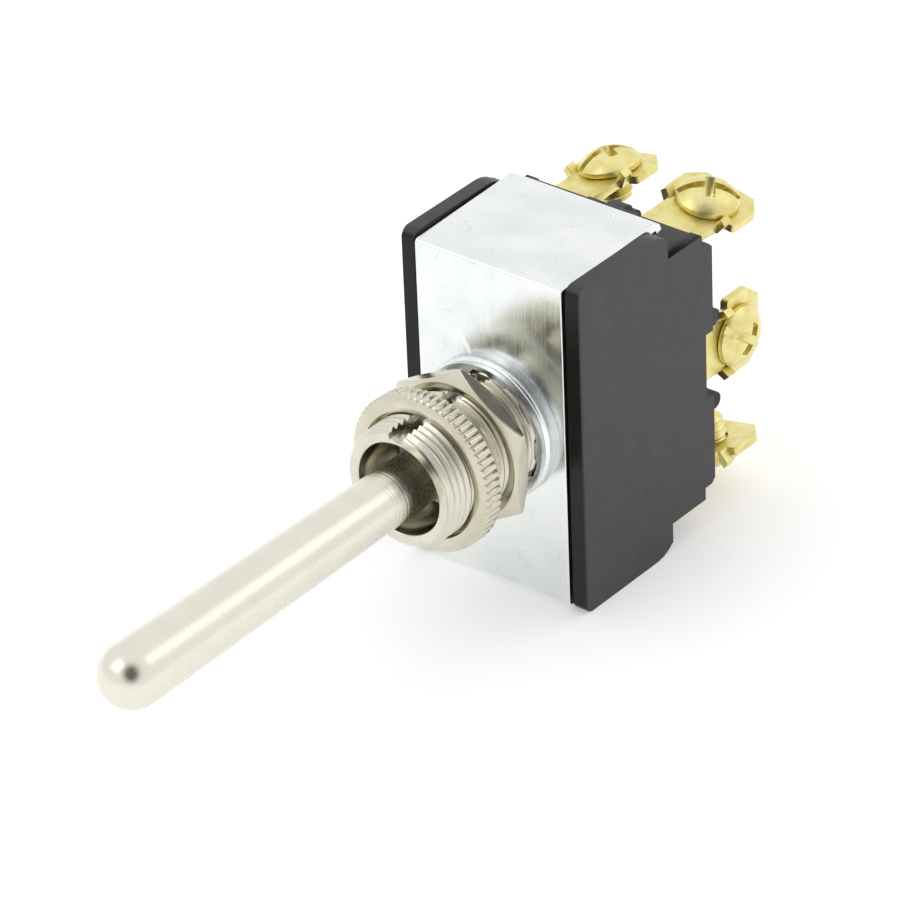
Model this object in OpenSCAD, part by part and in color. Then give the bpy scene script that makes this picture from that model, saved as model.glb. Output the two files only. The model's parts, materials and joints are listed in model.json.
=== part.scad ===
// Heavy-duty panel toggle switch, two poles, three positions with the middle one off.
// Six screw terminals, a straight round lever and a threaded bushing with two nuts.
//
// Frame: origin on the bushing's axis, where the panel seats against the hex nut.
// +Y runs into the case, the lever points along -Y, and +Z runs up the case's long side.
// All lengths are in millimetres and all angles in degrees.

/* [Bushing] */
// Thread diameter of the bushing over its crests (15/32 inch thread)
bushing_d = 11.9; // [11.5:0.05:12.3]
// Reach of the bushing in front of the panel seat
bushing_reach = 7.9; // [7.5:0.1:10]
// Distance from the panel seat back to the front of the metal frame
seat_to_frame = 5.7; // [5.4:0.1:7]
// Diameter of the wide mouth that the lever swings in
mouth_d = 9.12; // [8.9:0.02:9.6]
// Depth of the wide mouth
mouth_depth = 5.9; // [5.2:0.1:6.6]
// Diameter of the ball seat's bore
seat_bore_d = 7.24; // [7.16:0.02:7.4]
// Chamfer at the bushing's end
bushing_chamfer = 0.45; // [0.2:0.05:0.6]
// Width of the keyway cut along the top of the thread
keyway_w = 1.8; // [1.2:0.1:2.4]
// Depth of the keyway below the thread's crests
keyway_depth = 0.95; // [0.6:0.05:1.1]
// Diameter of the bushing's flange inside the frame's boss
flange_d = 12.7; // [12.4:0.1:13]
// Thickness of that flange
flange_t = 1.0; // [0.8:0.1:1.3]

/* [Nuts and washer] */
// Hex nut across its flats (9/16 inch)
hex_af = 14.29; // [14:0.05:15]
// Hex nut thickness
hex_t = 1.9; // [1.6:0.1:2.2]
// Turn of the hex nut about the bushing
hex_turn = 26.8; // [0:0.1:60]
// Ring nut diameter over its knurl (5/8 inch)
ring_d = 15.6; // [15:0.1:17]
// Ring nut thickness
ring_t = 2.4; // [1.8:0.1:2.5]
// Space left for the panel between the two nuts
panel_gap = 2.6; // [2:0.1:2.7]
// Teeth of the ring nut's straight knurl
knurl_teeth = 64; // [48:1:80]
// Depth of the knurl
knurl_depth = 0.28; // [0.15:0.01:0.4]
// Lock washer's outer diameter
washer_d = 13.6; // [13.2:0.1:14.2]
// Lock washer's sheet thickness
washer_t = 0.55; // [0.4:0.05:0.7]
// Width of the lock washer's ring outside its teeth
washer_ring = 0.45; // [0.35:0.05:0.6]
// Inward teeth of the lock washer
washer_teeth = 10; // [8:1:12]
// Radial clearance of a nut or washer on the thread
thread_clear = 0.05; // [0.03:0.01:0.1]

/* [Lever] */
// Distance from the pivot to the lever's rounded tip
lever_len = 46.7; // [30:0.1:50]
// Lever diameter at the tip
tip_d = 6.1; // [5.5:0.1:6.4]
// Lever diameter where it enters the bushing
root_d = 5.24; // [4.8:0.02:5.3]
// Distance from the pivot out to the lever's inner shoulder
shoulder_reach = 4.4; // [4.2:0.1:6.5]
// Diameter of the neck between the shoulder and the ball
neck_d = 3.8; // [3:0.1:4]
// Diameter of the pivot ball
ball_d = 7.0; // [6.9:0.02:7.1]
// Distance of the pivot in front of the panel seat
pivot_reach = 0.2; // [0:0.1:0.6]
// Diameter of the pivot pin
pin_d = 1.6; // [1.2:0.1:2]
// Length of the pivot pin
pin_len = 9.8; // [9:0.1:10]
// Diameter of the lever's tail behind the ball
tail_d = 3.8; // [3:0.1:3.9]
// Diameter of the spigot that carries the plunger carrier
spigot_d = 2.8; // [2.2:0.1:3.2]
// Swing of the lever each way from the middle
lever_swing = 13; // [10:0.5:13]

/* [Metal frame] */
// Width of the metal frame
frame_w = 16.94; // [15:0.02:20]
// Height of the metal frame over its two folded legs
frame_h = 33.15; // [30:0.05:38]
// Thickness of the frame's sheet
sheet_t = 0.8; // [0.6:0.05:1]
// Outer radius of the folds at the front
fold_r = 1.1; // [0.9:0.1:1.8]
// Straight length of each leg, from the front to its curled lip
leg_len = 13.8; // [12.8:0.1:14]
// Angle that the lip is curled over the case's shoulder
lip_angle = 75; // [60:1:80]
// Outer radius of the curled lip
lip_r = 1.1; // [1:0.05:1.4]
// Straight length at the curled lip's end
lip_len = 0.2; // [0.1:0.05:0.4]
// Diameter of the pressed boss around the bushing
boss_d = 14.16; // [14:0.02:15.5]
// Height of the pressed boss
boss_h = 1.0; // [0.6:0.1:1.2]

/* [Case] */
// Width of the case over its two side walls
case_w = 19.9; // [18:0.1:23]
// How far the side walls rise above the frame's legs
wall_rise = 0.425; // [0.2:0.025:1]
// Depth of the case from the frame's front to its back face
case_depth = 20.1; // [19.8:0.1:22]
// How far the side walls stay behind the frame's front
wall_recess = 0.25; // [0.1:0.05:0.6]
// Depth at which the case steps in behind the legs
shoulder_depth = 13.5; // [13.3:0.1:14.5]
// How far the case behind that shoulder lies below the frame's legs
body_drop = 2.525; // [2.2:0.025:2.8]
// Depth at which the back block begins
block_depth = 18.6; // [18.4:0.1:19]
// How far the back block lies below the case in front of it
block_drop = 1.25; // [0.9:0.05:1.5]
// How far the case's slope begins before the curled lips
lip_hollow = 0.6; // [0.4:0.1:1]
// Thickness of the cavity's walls
wall_t = 2.0; // [1.8:0.05:2.1]
// Depth of the cavity's floor from the frame's front
floor_depth = 17.0; // [16.9:0.1:17.4]
// Depth of the shallow recess that the middle terminals stand in
recess_depth = 1.1; // [0.6:0.1:1.4]
// How far the barriers stand behind the back face
barrier_rise = 1.45; // [1:0.05:2.5]
// Thickness of a barrier rib between two rows of terminals
rib_t = 1.7; // [1.2:0.1:1.8]
// Height of a barrier rib's middle above the case's middle
rib_z = 4.45; // [4.4:0.05:4.6]
// Thickness of the barrier between the left and right terminals
spine_t = 1.8; // [1.2:0.1:2.4]
// Thickness of the partition between the two poles inside
partition_t = 1.2; // [0.8:0.1:1.6]
// Thickness of the insulating sheet under the frame
insulator_t = 0.5; // [0.3:0.05:0.7]

/* [Terminals] */
// Sheet thickness of the terminals
blade_t = 0.8; // [0.6:0.05:0.9]
// Width of a terminal's head
blade_w = 8.1; // [7:0.1:8.2]
// Width of a terminal's waist, where it leaves the case
waist_w = 5.6; // [4.6:0.1:5.8]
// Depth of the terminal screws' axes from the frame's front
screw_depth = 25.4; // [25.2:0.1:27]
// Reach of a terminal beyond its screw's axis
blade_reach = 3.55; // [3:0.05:4.5]
// How far an end terminal's outer face stands above the block's upper or lower face
end_rise = 0.3; // [0:0.05:0.35]
// Distance of an end terminal's middle from the case's side
end_inset = 4.4; // [4.35:0.05:5]
// Outward lean of the end terminals
end_lean = 12; // [8:1:14]
// Distance of a middle terminal's outer face from the case's side
side_inset = 1.35; // [1.15:0.05:1.45]
// Diameter of a terminal screw's head
head_d = 6.0; // [5.4:0.1:6.4]
// Height of a terminal screw's head
head_h = 1.95; // [1.6:0.05:2.1]
// Shank diameter of a terminal screw (number 6 thread)
shank_d = 3.4; // [3:0.05:3.5]
// Shank length of a terminal screw under its head
shank_len = 3.2; // [2.6:0.1:3.6]
// Height of a screw head's rim, where its slot ends
rim_h = 0.6; // [0.5:0.05:0.8]
// Width of a screw head's slot
slot_w = 0.8; // [0.6:0.05:1.1]
// Width of the arms of its cross recess
cross_w = 0.9; // [0.7:0.05:1.1]
// Reach of the cross recess from the screw's axis
cross_reach = 1.75; // [1.4:0.05:2]
// Height that an ear is turned up at the terminal's waist
ear_rise = 0.65; // [0.5:0.05:1]
// Width of an ear along the terminal
ear_w = 1.1; // [0.8:0.1:1.2]

/* [Contacts] */
// Distance of each pole's mechanism from the cavity's side wall
pole_inset = 2.75; // [2.65:0.05:2.85]
// Swing of a contact rocker each way
rocker_swing = 10; // [8:0.5:10]
// Sheet thickness of a rocker
rocker_t = 0.7; // [0.5:0.05:0.8]
// Width of a rocker
rocker_w = 3.2; // [2.6:0.1:3.4]
// Length of a rocker's arm from its pivot
rocker_arm = 8.8; // [8.6:0.1:9.2]
// Distance of the contact buttons from the rocker's pivot
contact_reach = 7.8; // [7.4:0.1:8]
// Diameter of a moving contact button
moving_d = 2.2; // [1.8:0.1:2.6]
// Height of a moving contact button
moving_h = 0.7; // [0.5:0.05:0.8]
// Diameter of a fixed contact button
fixed_d = 2.6; // [2.2:0.1:2.8]
// Height of a fixed contact button
fixed_h = 0.6; // [0.5:0.05:0.8]
// Diameter of a rocker's trunnions
trunnion_d = 0.9; // [0.7:0.05:1]
// Diameter of a plunger
plunger_d = 2.6; // [2.2:0.1:3]
// Free length of a plunger's spring
spring_len = 3.4; // [3:0.1:4]
// Wire diameter of a plunger's spring
spring_wire = 0.32; // [0.2:0.02:0.4]
// Turns of a plunger's spring
spring_turns = 5; // [4:1:6]
// Running clearance of pins, plungers and trunnions
run_clear = 0.05; // [0.03:0.01:0.08]

/* [Hidden] */
$fn = 96;

// Turns of the screws' slots, as they happen to stand when tightened
upper_turns = [118, 37];
middle_turns = [20, 54];
lower_turns = [70, 155];

// Depths along Y
frame_y = seat_to_frame;
pivot_y = -pivot_reach;
boss_y = frame_y - boss_h;
lid_y = frame_y + sheet_t + insulator_t;
floor_y = frame_y + floor_depth;
foot_y = floor_y - blade_t;
back_y = frame_y + case_depth;
screw_y = frame_y + screw_depth;
tip_y = screw_y + blade_reach;

// Radii of the bushing
thread_r = bushing_d / 2;
seat_r = seat_bore_d / 2;
mouth_r = mouth_d / 2;
shoulder_cone = mouth_r - seat_r;
pin_slot_reach = pin_len / 2 + 0.1;

// The washer lies against the boss, behind the hex nut
washer_y = boss_y - washer_t - 0.05;

// Heights of the case's walls, of its body behind the shoulder and of its back block
case_h = frame_h + 2 * wall_rise;
body_h = frame_h - 2 * body_drop;
block_h = body_h - 2 * block_drop;

// The channel between the case's side walls holds the frame
channel_w = frame_w + 0.06;
side_t = (case_w - channel_w) / 2;
channel_floor = frame_h / 2 - sheet_t - 0.02;
cavity_x = case_w / 2 - wall_t;
cavity_front_z = channel_floor - wall_t;
cavity_back_z = body_h / 2 - wall_t;
corner_r = 1.0;
end_x = case_w / 2 - end_inset;
end_seat = block_h / 2 + end_rise;
side_seat = case_w / 2 - side_inset;
pole_x = cavity_x - pole_inset;

// Depths along the legs: where the case slopes in under the lips, and its walls' sweep,
// an arc that ends just before the shoulder
slope_y = frame_y + leg_len - lip_hollow;
sweep_r = 4.2;
sweep_end = 52;
sweep_y = frame_y + shoulder_depth - 0.11 - sweep_r * cos(sweep_end);

// Rockers: a closed pair of contacts lies flat when the rocker is fully over
contact_gap = 0.05;
rocker_y = foot_y - fixed_h - contact_gap - moving_h - rocker_t / 2;
arm_slope = rocker_swing;
valley_y = rocker_y - rocker_t / 2 / cos(arm_slope);

// Plungers: round ends that rest in the rockers' valleys
tip_gap = 0.15;
plunger_r = plunger_d / 2;
plunger_tip_y = valley_y - plunger_r / cos(arm_slope) - tip_gap;
carrier_y = lid_y + 1.3;
carrier_len = 8.0;
carrier_h = 4.8;
carrier_w = 2 * pole_x + plunger_d + 1.2;
carrier_bore_y = carrier_y + 1.4;
plunger_y = carrier_bore_y + spring_len;
spring_r = plunger_r - spring_wire / 2 - 0.12;

// The insulator's hole clears the lever's tail at full swing
tail_hole_d = tail_d + 2 * (lid_y - pivot_y) * tan(lever_swing) + 1.48;

// Points of an arc about (cx, cy) from angle a0 to a1
function arc(cx, cy, r, a0, a1, steps = 6) =
    [for (i = [0:steps]) [cx + r * cos(a0 + (a1 - a0) * i / steps),
                          cy + r * sin(a0 + (a1 - a0) * i / steps)]];

// A half outline above the middle line, closed by its mirror image below
function with_mirror(half) =
    concat(half, [for (i = [len(half) - 1:-1:0]) [half[i][0], -half[i][1]]]);

// A profile in (depth, height) carried across the width w about x
module across(w, x = 0) {
    translate([x - w / 2, 0, 0]) rotate([90, 0, 90]) linear_extrude(height = w) children();
}

// A profile in (radius, depth) turned about the bushing's axis
module turned() {
    rotate([-90, 0, 0]) rotate_extrude() children();
}

// A cylinder along Y from y0 to y1
module rod_y(d, y0, y1) {
    translate([0, y0, 0]) rotate([-90, 0, 0]) cylinder(d = d, h = y1 - y0);
}

// ---- Case ----

// Upper half of the outline behind the shoulder: body, back block and terminal recess
function rear_half() =
    let (z_body = body_h / 2, z_block = block_h / 2, z_recess = rib_z - rib_t / 2 - 0.15,
        y_block = frame_y + block_depth)
    [[y_block, z_body], [y_block, z_block], [back_y - 0.5, z_block], [back_y, z_block - 0.5],
        [back_y, z_recess], [back_y - recess_depth, z_recess]];

// Outline of a side wall, which overlaps the frame's edges
module wall_outline() {
    y0 = frame_y + wall_recess;
    y1 = frame_y + shoulder_depth;
    z1 = case_h / 2;
    sweep = arc(sweep_y, z1 - sweep_r, sweep_r, 90, sweep_end);
    half = concat(arc(y0 + corner_r, z1 - corner_r, corner_r, 180, 90), sweep,
        [[y1, sweep[len(sweep) - 1][1]], [y1, body_h / 2]], rear_half());
    polygon(with_mirror(half));
}

// Outline of the core between the walls: channel floors, shoulders, body and back block
module core_outline() {
    half = concat([[lid_y, channel_floor], [slope_y, channel_floor],
        [slope_y + channel_floor - body_h / 2, body_h / 2]], rear_half());
    polygon(with_mirror(half));
}

// A barrier's section in (depth, height), with a rounded back edge
module rib_section(t, y_end) {
    polygon(concat([[back_y - 1.5, t / 2]], arc(y_end - t / 2, 0, t / 2, 90, -90, 10),
        [[back_y - 1.5, -t / 2]]));
}

// Barriers that keep the six terminals apart at the back
module barriers() {
    z = block_h / 2;
    y1 = back_y + barrier_rise;
    half = concat(arc(y1 - 0.9, z - 0.9, 0.9, 0, 90), [[y1 - 1.3, z], [y1 - 1.3, z + 0.3]],
        arc(y1 - 2.1, z + 0.3, 0.8, 0, 90), [[frame_y + block_depth - 1, z + 1.1]]);
    across(spine_t) polygon(with_mirror([for (i = [len(half) - 1:-1:0]) half[i]]));
    for (s = [-1, 1]) translate([0, 0, s * rib_z])
        across(case_w - 0.6) rib_section(rib_t, back_y + barrier_rise - 0.05);
}

// The hollow that holds both poles: one space in front, two behind the partition's edge
module cavity() {
    y_part = carrier_y + carrier_len + 0.8;
    y_step = y_part + 1.0;
    across(2 * cavity_x) polygon(with_mirror([[lid_y - 1, cavity_front_z],
        [y_part, cavity_front_z]]));
    for (s = [-1, 1]) across(cavity_x - partition_t / 2, s * (cavity_x + partition_t / 2) / 2)
        polygon(with_mirror([[y_part - 0.2, cavity_back_z + 1], [y_part, cavity_back_z + 1],
            [y_step, cavity_back_z], [floor_y, cavity_back_z]]));
}

module case() {
    color([0.17, 0.165, 0.17]) difference() {
        union() {
            for (s = [-1, 1]) across(side_t, s * (case_w - side_t) / 2) wall_outline();
            across(channel_w) core_outline();
            barriers();
        }
        cavity();
        each_end() end_slot();
        for (s = [0, 1]) mirror([s, 0, 0]) side_slot();
    }
}

// ---- Metal frame ----

// Section of the channel: the front, two folds, two legs and their curled lips
module channel_section() {
    z = frame_h / 2;
    y_lip = frame_y + leg_len;
    outer = concat(arc(frame_y + fold_r, z - fold_r, fold_r, 180, 90),
        arc(y_lip, z - lip_r, lip_r, 90, 90 - lip_angle));
    inner = concat(
        arc(y_lip, z - lip_r, lip_r - sheet_t, 90 - lip_angle, 90),
        arc(frame_y + fold_r, z - fold_r, fold_r - sheet_t, 90, 180));
    u = [cos(lip_angle), -sin(lip_angle)];
    tip = [for (p = [outer[len(outer) - 1], inner[0]]) p + lip_len * u];
    polygon(with_mirror(concat(outer, tip, inner)));
}

module boss(r, h, y, round_r) {
    turned() polygon(concat([[0, y + h], [r, y + h]], arc(r - round_r, y + round_r, round_r, 0, -90),
        [[0, y]]));
}

module frame() {
    color([0.86, 0.88, 0.89]) difference() {
        union() {
            across(frame_w) channel_section();
            boss(boss_d / 2, boss_h + sheet_t / 2, boss_y, 0.5);
        }
        boss(boss_d / 2 - sheet_t + 0.1, boss_h + 1, boss_y + sheet_t, 0.2);
        rod_y(bushing_d + 0.06, boss_y - 1, frame_y + sheet_t + 1);
    }
}

module insulator() {
    color([0.32, 0.2, 0.13]) difference() {
        across(channel_w - 0.1) polygon([for (p = [[0, 1], [1, 1], [1, -1], [0, -1]])
            [frame_y + sheet_t + insulator_t * p[0], p[1] * (channel_floor - 0.5)]]);
        rod_y(tail_hole_d, frame_y, frame_y + 3);
    }
}

// ---- Bushing ----

module bushing() {
    y0 = -bushing_reach;
    y_back = boss_y + sheet_t;
    c = bushing_chamfer;
    y_mouth = y0 + mouth_depth;
    color([0.8, 0.78, 0.7]) difference() {
        turned() polygon([[mouth_r + 0.25, y0], [thread_r - c, y0], [thread_r, y0 + c],
            [thread_r, y_back], [flange_d / 2 - 0.25, y_back], [flange_d / 2, y_back + 0.25],
            [flange_d / 2, y_back + flange_t],
            [seat_r, y_back + flange_t], [seat_r, y_mouth + shoulder_cone], [mouth_r, y_mouth],
            [mouth_r, y0 + 0.25]]);
        // keyway along the top of the thread
        translate([-keyway_w / 2, y0 - 1, thread_r - keyway_depth])
            cube([keyway_w, boss_y - y0 - 0.2 + 1, keyway_depth + 1]);
        // two inner grooves that hold the pivot pin's ends, open towards the back
        intersection() {
            union() {
                translate([0, pivot_y, 0]) rotate([0, 90, 0])
                    cylinder(d = pin_d + 2 * run_clear, h = 2 * pin_slot_reach, center = true);
                translate([-pin_slot_reach, pivot_y, -pin_d / 2 - run_clear])
                    cube([2 * pin_slot_reach, y_back + flange_t + 1 - pivot_y,
                        pin_d + 2 * run_clear]);
            }
            rod_y(2 * pin_slot_reach, y0, y_back + flange_t + 1);
        }
    }
}

// ---- Nuts and washer ----

// Cone-cut blank that gives a nut its 30 degree chamfers
module nut_blank(r_corner, r_face, y, t) {
    c = (r_corner - r_face) * tan(30);
    turned() polygon([[0, y], [r_face, y], [r_corner + 0.01, y + c], [r_corner + 0.01, y + t - c],
        [r_face, y + t], [0, y + t]]);
}

module hex_nut() {
    r_corner = hex_af / 2 / cos(30);
    color([0.74, 0.73, 0.68]) difference() {
        intersection() {
            rotate([0, -hex_turn, 0]) rotate([-90, 0, 0])
                cylinder(r = r_corner, h = hex_t, $fn = 6);
            nut_blank(r_corner, hex_af / 2 - 0.25, 0, hex_t);
        }
        nut_bore(0, hex_t);
    }
}

// Tapped hole of a nut, with a small countersink on each face
module nut_bore(y, t) {
    r = thread_r + thread_clear;
    turned() polygon([[0, y - 1], [r + 0.35, y - 1], [r + 0.35, y], [r, y + 0.35],
        [r, y + t - 0.35], [r + 0.35, y + t], [r + 0.35, y + t + 1], [0, y + t + 1]]);
}

module ring_nut() {
    y = -panel_gap - ring_t;
    r = ring_d / 2;
    // each tooth has a crest, two flanks and a rounded root
    tooth = [[0.18, 0], [0.34, 0.75], [0.5, 1], [0.66, 0.75], [0.82, 0]];
    knurl = [for (i = [0:knurl_teeth - 1], p = tooth)
        let (a = 360 * (i + p[0]) / knurl_teeth, q = r - knurl_depth * p[1])
            [q * cos(a), q * sin(a)]];
    color([0.76, 0.75, 0.69]) difference() {
        intersection() {
            translate([0, y, 0]) rotate([-90, 0, 0]) linear_extrude(height = ring_t) polygon(knurl);
            nut_blank(r, r - 0.55, y, ring_t);
        }
        nut_bore(y, ring_t);
    }
}

module lock_washer() {
    r_in = thread_r + thread_clear + 0.02;
    r_root = washer_d / 2 - washer_ring;
    // toothed hole: each tooth narrows towards the thread
    hole = [for (i = [0:washer_teeth - 1],
            p = [[-0.3, 1], [-0.2, 0], [0.2, 0], [0.3, 1], [0.5, 1]])
        let (a = 360 * (i + p[0]) / washer_teeth, q = p[1] == 0 ? r_in : r_root)
            [q * cos(a), q * sin(a)]];
    color([0.8, 0.8, 0.76]) translate([0, washer_y, 0]) rotate([-90, 0, 0])
        linear_extrude(height = washer_t) difference() {
            circle(d = washer_d);
            polygon(hole);
        }
}

// ---- Lever ----

module lever() {
    tip_r = tip_d / 2;
    y_tip = pivot_y - lever_len;
    y_shoulder = pivot_y - shoulder_reach;
    y_end = carrier_y + 6.4;
    neck_r = neck_d / 2;
    tail_r = tail_d / 2;
    spigot_r = spigot_d / 2;
    round_r = root_d / 2 - neck_r;
    color([0.86, 0.85, 0.8]) difference() {
        union() {
            turned() polygon(concat(
                [[0, y_tip]], arc(0, y_tip + tip_r, tip_r, -80, 0, 10),
                arc(neck_r, y_shoulder - round_r, round_r, 0, 90),
                [[neck_r, pivot_y], [tail_r, pivot_y], [tail_r, carrier_y], [spigot_r, carrier_y],
                    [spigot_r, y_end - 0.3], [spigot_r - 0.3, y_end], [0, y_end]]));
            translate([0, pivot_y, 0]) sphere(d = ball_d);
        }
        translate([0, pivot_y, 0]) rotate([0, 90, 0])
            cylinder(d = pin_d + 0.02, h = ball_d + 2, center = true);
    }
}

module pivot_pin() {
    color([0.7, 0.7, 0.72]) translate([-pin_len / 2, pivot_y, 0]) rotate([0, 90, 0])
        cylinder(d = pin_d, h = pin_len);
}

// ---- Plunger carrier, plungers and springs ----

module plunger_carrier() {
    r = 0.8;
    color([0.55, 0.28, 0.16]) difference() {
        translate([0, carrier_y, 0]) rotate([-90, 0, 0]) linear_extrude(height = carrier_len)
            polygon(concat(arc(carrier_w / 2 - r, carrier_h / 2 - r, r, 0, 90),
                arc(r - carrier_w / 2, carrier_h / 2 - r, r, 90, 180),
                arc(r - carrier_w / 2, r - carrier_h / 2, r, 180, 270),
                arc(carrier_w / 2 - r, r - carrier_h / 2, r, 270, 360)));
        rod_y(spigot_d + 0.04, carrier_y - 1, carrier_y + 6.5);
        for (s = [-1, 1]) translate([s * pole_x, 0, 0])
            rod_y(plunger_d + 2 * run_clear, carrier_bore_y, carrier_y + carrier_len + 1);
    }
}

module plunger(s) {
    color([0.8, 0.68, 0.38]) translate([s * pole_x, 0, 0]) turned()
        polygon(concat([[0, plunger_y], [plunger_r - 0.2, plunger_y], [plunger_r, plunger_y + 0.2]],
            arc(0, plunger_tip_y, plunger_r, 0, 80, 10), [[0, plunger_tip_y + plunger_r]]));
}

// Closed coil: a hexagonal wire section carried along a helix
module spring(s) {
    steps = 16 * spring_turns;
    sides = 6;
    y0 = carrier_bore_y + spring_wire / 2 + 0.02;
    rise = (spring_len - spring_wire - 0.04) / steps;
    points = [for (i = [0:steps], j = [0:sides - 1])
        let (a = 360 * i / 16, b = 360 * j / sides, q = spring_r + spring_wire / 2 * cos(b))
            [q * cos(a), y0 + i * rise + spring_wire / 2 * sin(b), q * sin(a)]];
    faces = concat([[for (j = [0:sides - 1]) j]],
        [for (i = [0:steps - 1], j = [0:sides - 1])
            [i * sides + j, (i + 1) * sides + j, (i + 1) * sides + (j + 1) % sides,
                i * sides + (j + 1) % sides]],
        [[for (j = [sides - 1:-1:0]) steps * sides + j]]);
    color([0.6, 0.6, 0.62]) translate([s * pole_x, 0, 0]) polyhedron(points = points, faces = faces);
}

// ---- Rockers and their fulcrums ----

// Places a child drawn for the upper right end terminal at one of the four ends
module at_end(sx, sz) {
    mirror([sx < 0 ? 1 : 0, 0, 0]) mirror([0, 0, sz < 0 ? 1 : 0]) children();
}

module each_end() {
    for (sx = [-1, 1], sz = [-1, 1]) at_end(sx, sz) children();
}

// A strip bent to a shallow V, with a trunnion on each side
module rocker(s) {
    t = rocker_t / 2;
    a = arm_slope;
    n = [t * cos(a), t * sin(a)];
    e = [rocker_y - rocker_arm * sin(a), rocker_arm * cos(a)];
    v = t / cos(a);
    color([0.78, 0.66, 0.36]) union() {
        across(rocker_w, s * pole_x) polygon([
            [rocker_y - v, 0], e - n, e + n,
            [rocker_y + v, 0], [e[0] + n[0], -e[1] - n[1]], [e[0] - n[0], -e[1] + n[1]]]);
        translate([s * pole_x, rocker_y, 0]) rotate([0, 90, 0])
            cylinder(d = trunnion_d, h = rocker_w + 2.2, center = true);
    }
}

// Bracket on the middle terminal's foot, with two ears that the trunnions lie in
module fulcrum(s) {
    ear_t = 0.6;
    base_t = 0.5;
    ear_x = rocker_w / 2 + 0.15;
    y_top = rocker_y - trunnion_d / 2 - 0.5;
    color([0.75, 0.63, 0.35]) translate([s * pole_x, 0, 0]) difference() {
        union() {
            across(2 * (ear_x + ear_t)) polygon([[foot_y - base_t, 1.6], [foot_y, 1.6],
                [foot_y, -1.6], [foot_y - base_t, -1.6]]);
            for (k = [-1, 1]) across(ear_t, k * (ear_x + ear_t / 2))
                polygon([[foot_y, 1.6], [foot_y, -1.6], [rocker_y, -1.3], [y_top, -1.0],
                    [y_top, 1.0], [rocker_y, 1.3]]);
        }
        translate([0, rocker_y, 0]) rotate([0, 90, 0])
            cylinder(d = trunnion_d + 2 * run_clear, h = 20, center = true);
        translate([-10, y_top - 1, -trunnion_d / 2 - run_clear])
            cube([20, rocker_y - y_top + 1, trunnion_d + 2 * run_clear]);
    }
}

// Contact button with a low dome, riveted to the upper right arm's rear face
module moving_contact() {
    color([0.85, 0.85, 0.86]) translate([pole_x, rocker_y, 0]) rotate([arm_slope, 0, 0])
        translate([0, rocker_t / 2, contact_reach]) rotate([-90, 0, 0]) rotate_extrude()
            polygon([[0, 0], [moving_d / 2, 0], [moving_d / 2, moving_h - 0.15],
                [moving_d / 2 - 0.25, moving_h], [0, moving_h]]);
}

module fixed_contact() {
    color([0.85, 0.85, 0.86]) translate([pole_x, foot_y, contact_reach]) rotate([90, 0, 0])
        rotate_extrude() polygon([[0, 0], [fixed_d / 2, 0], [fixed_d / 2, fixed_h - 0.15],
            [fixed_d / 2 - 0.25, fixed_h], [0, fixed_h]]);
}

// ---- Terminals ----

// Outline of a terminal's head in (across, depth): waist, wide head and clipped corners
module blade_outline() {
    w = blade_w / 2;
    n = waist_w / 2;
    y_wide = screw_y - 1.2;
    half = concat([[n, foot_y]], [[n, screw_y - 2.5]],
        [for (p = arc(n + 0.5, y_wide - 0.6, 0.5, 180, 90, 4)) p],
        arc(w - 0.4, y_wide + 0.3, 0.4, -90, 0, 4),
        [[w, screw_y + 1.9], [w - 1.3, tip_y]]);
    mirrored = [for (i = [len(half) - 1:-1:0]) [-half[i][0], half[i][1]]];
    polygon(concat(half, mirrored));
}

// Ears turned up beside the waist keep a wire under the screw's head
module ears() {
    n = waist_w / 2;
    for (k = [0, 1]) mirror([k, 0, 0]) translate([0, screw_y - 1.3, 0]) rotate([90, 0, 0])
        linear_extrude(height = ear_w) polygon([[n - 0.6, -blade_t], [n + 0.25, -blade_t],
            [n + 0.25 + ear_rise, ear_rise - blade_t * 0.35],
            [n - 0.3 + ear_rise, ear_rise + blade_t * 0.35], [n - 0.25, 0], [n - 0.6, 0]]);
}

// A terminal lying flat: outer face at z = 0, screw's axis on x = 0, foot turned down inside
module flat_terminal(foot_len, foot_w) {
    difference() {
        union() {
            translate([0, 0, -blade_t]) linear_extrude(height = blade_t) blade_outline();
            ears();
            translate([-foot_w / 2, foot_y, -foot_len]) cube([foot_w, blade_t, foot_len]);
        }
        translate([0, screw_y, -2]) cylinder(d = shank_d + 0.1, h = 3);
    }
}

// Place of an end terminal: leant outwards about its middle line
module end_place() {
    translate([end_x, 0, end_seat]) rotate([0, end_lean, 0]) children();
}

module side_place() {
    translate([side_seat, 0, 0]) rotate([0, 90, 0]) children();
}

end_foot = end_seat - contact_reach + fixed_d / 2 + 0.3;
side_foot = side_seat - pole_x + rocker_w / 2 + 0.8;

module end_terminal() {
    color([0.87, 0.8, 0.5]) end_place() flat_terminal(end_foot, 5.2);
}

module side_terminal() {
    color([0.87, 0.8, 0.5]) side_place() flat_terminal(side_foot, 4.6);
}

// Slots in the case that the terminals pass through
slot_gap = 0.04;

module slot(w) {
    translate([-w / 2 - slot_gap, foot_y - slot_gap, -blade_t - slot_gap])
        cube([w + 2 * slot_gap, back_y + 4 - foot_y, blade_t + 2 * slot_gap]);
}

// An end terminal's slot is open outwards through the back block, and deeper at its foot
module end_slot() {
    end_place() {
        slot(waist_w);
        translate([-waist_w / 2 - slot_gap, frame_y + block_depth - 0.2, -blade_t / 2])
            cube([waist_w + 2 * slot_gap, 4, 3]);
        translate([-waist_w / 2 - slot_gap, foot_y - slot_gap, -blade_t - 1])
            cube([waist_w + 2 * slot_gap, blade_t + slot_gap, 1.4]);
    }
}

module side_slot() {
    side_place() slot(waist_w);
}

// ---- Terminal screws ----

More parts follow.
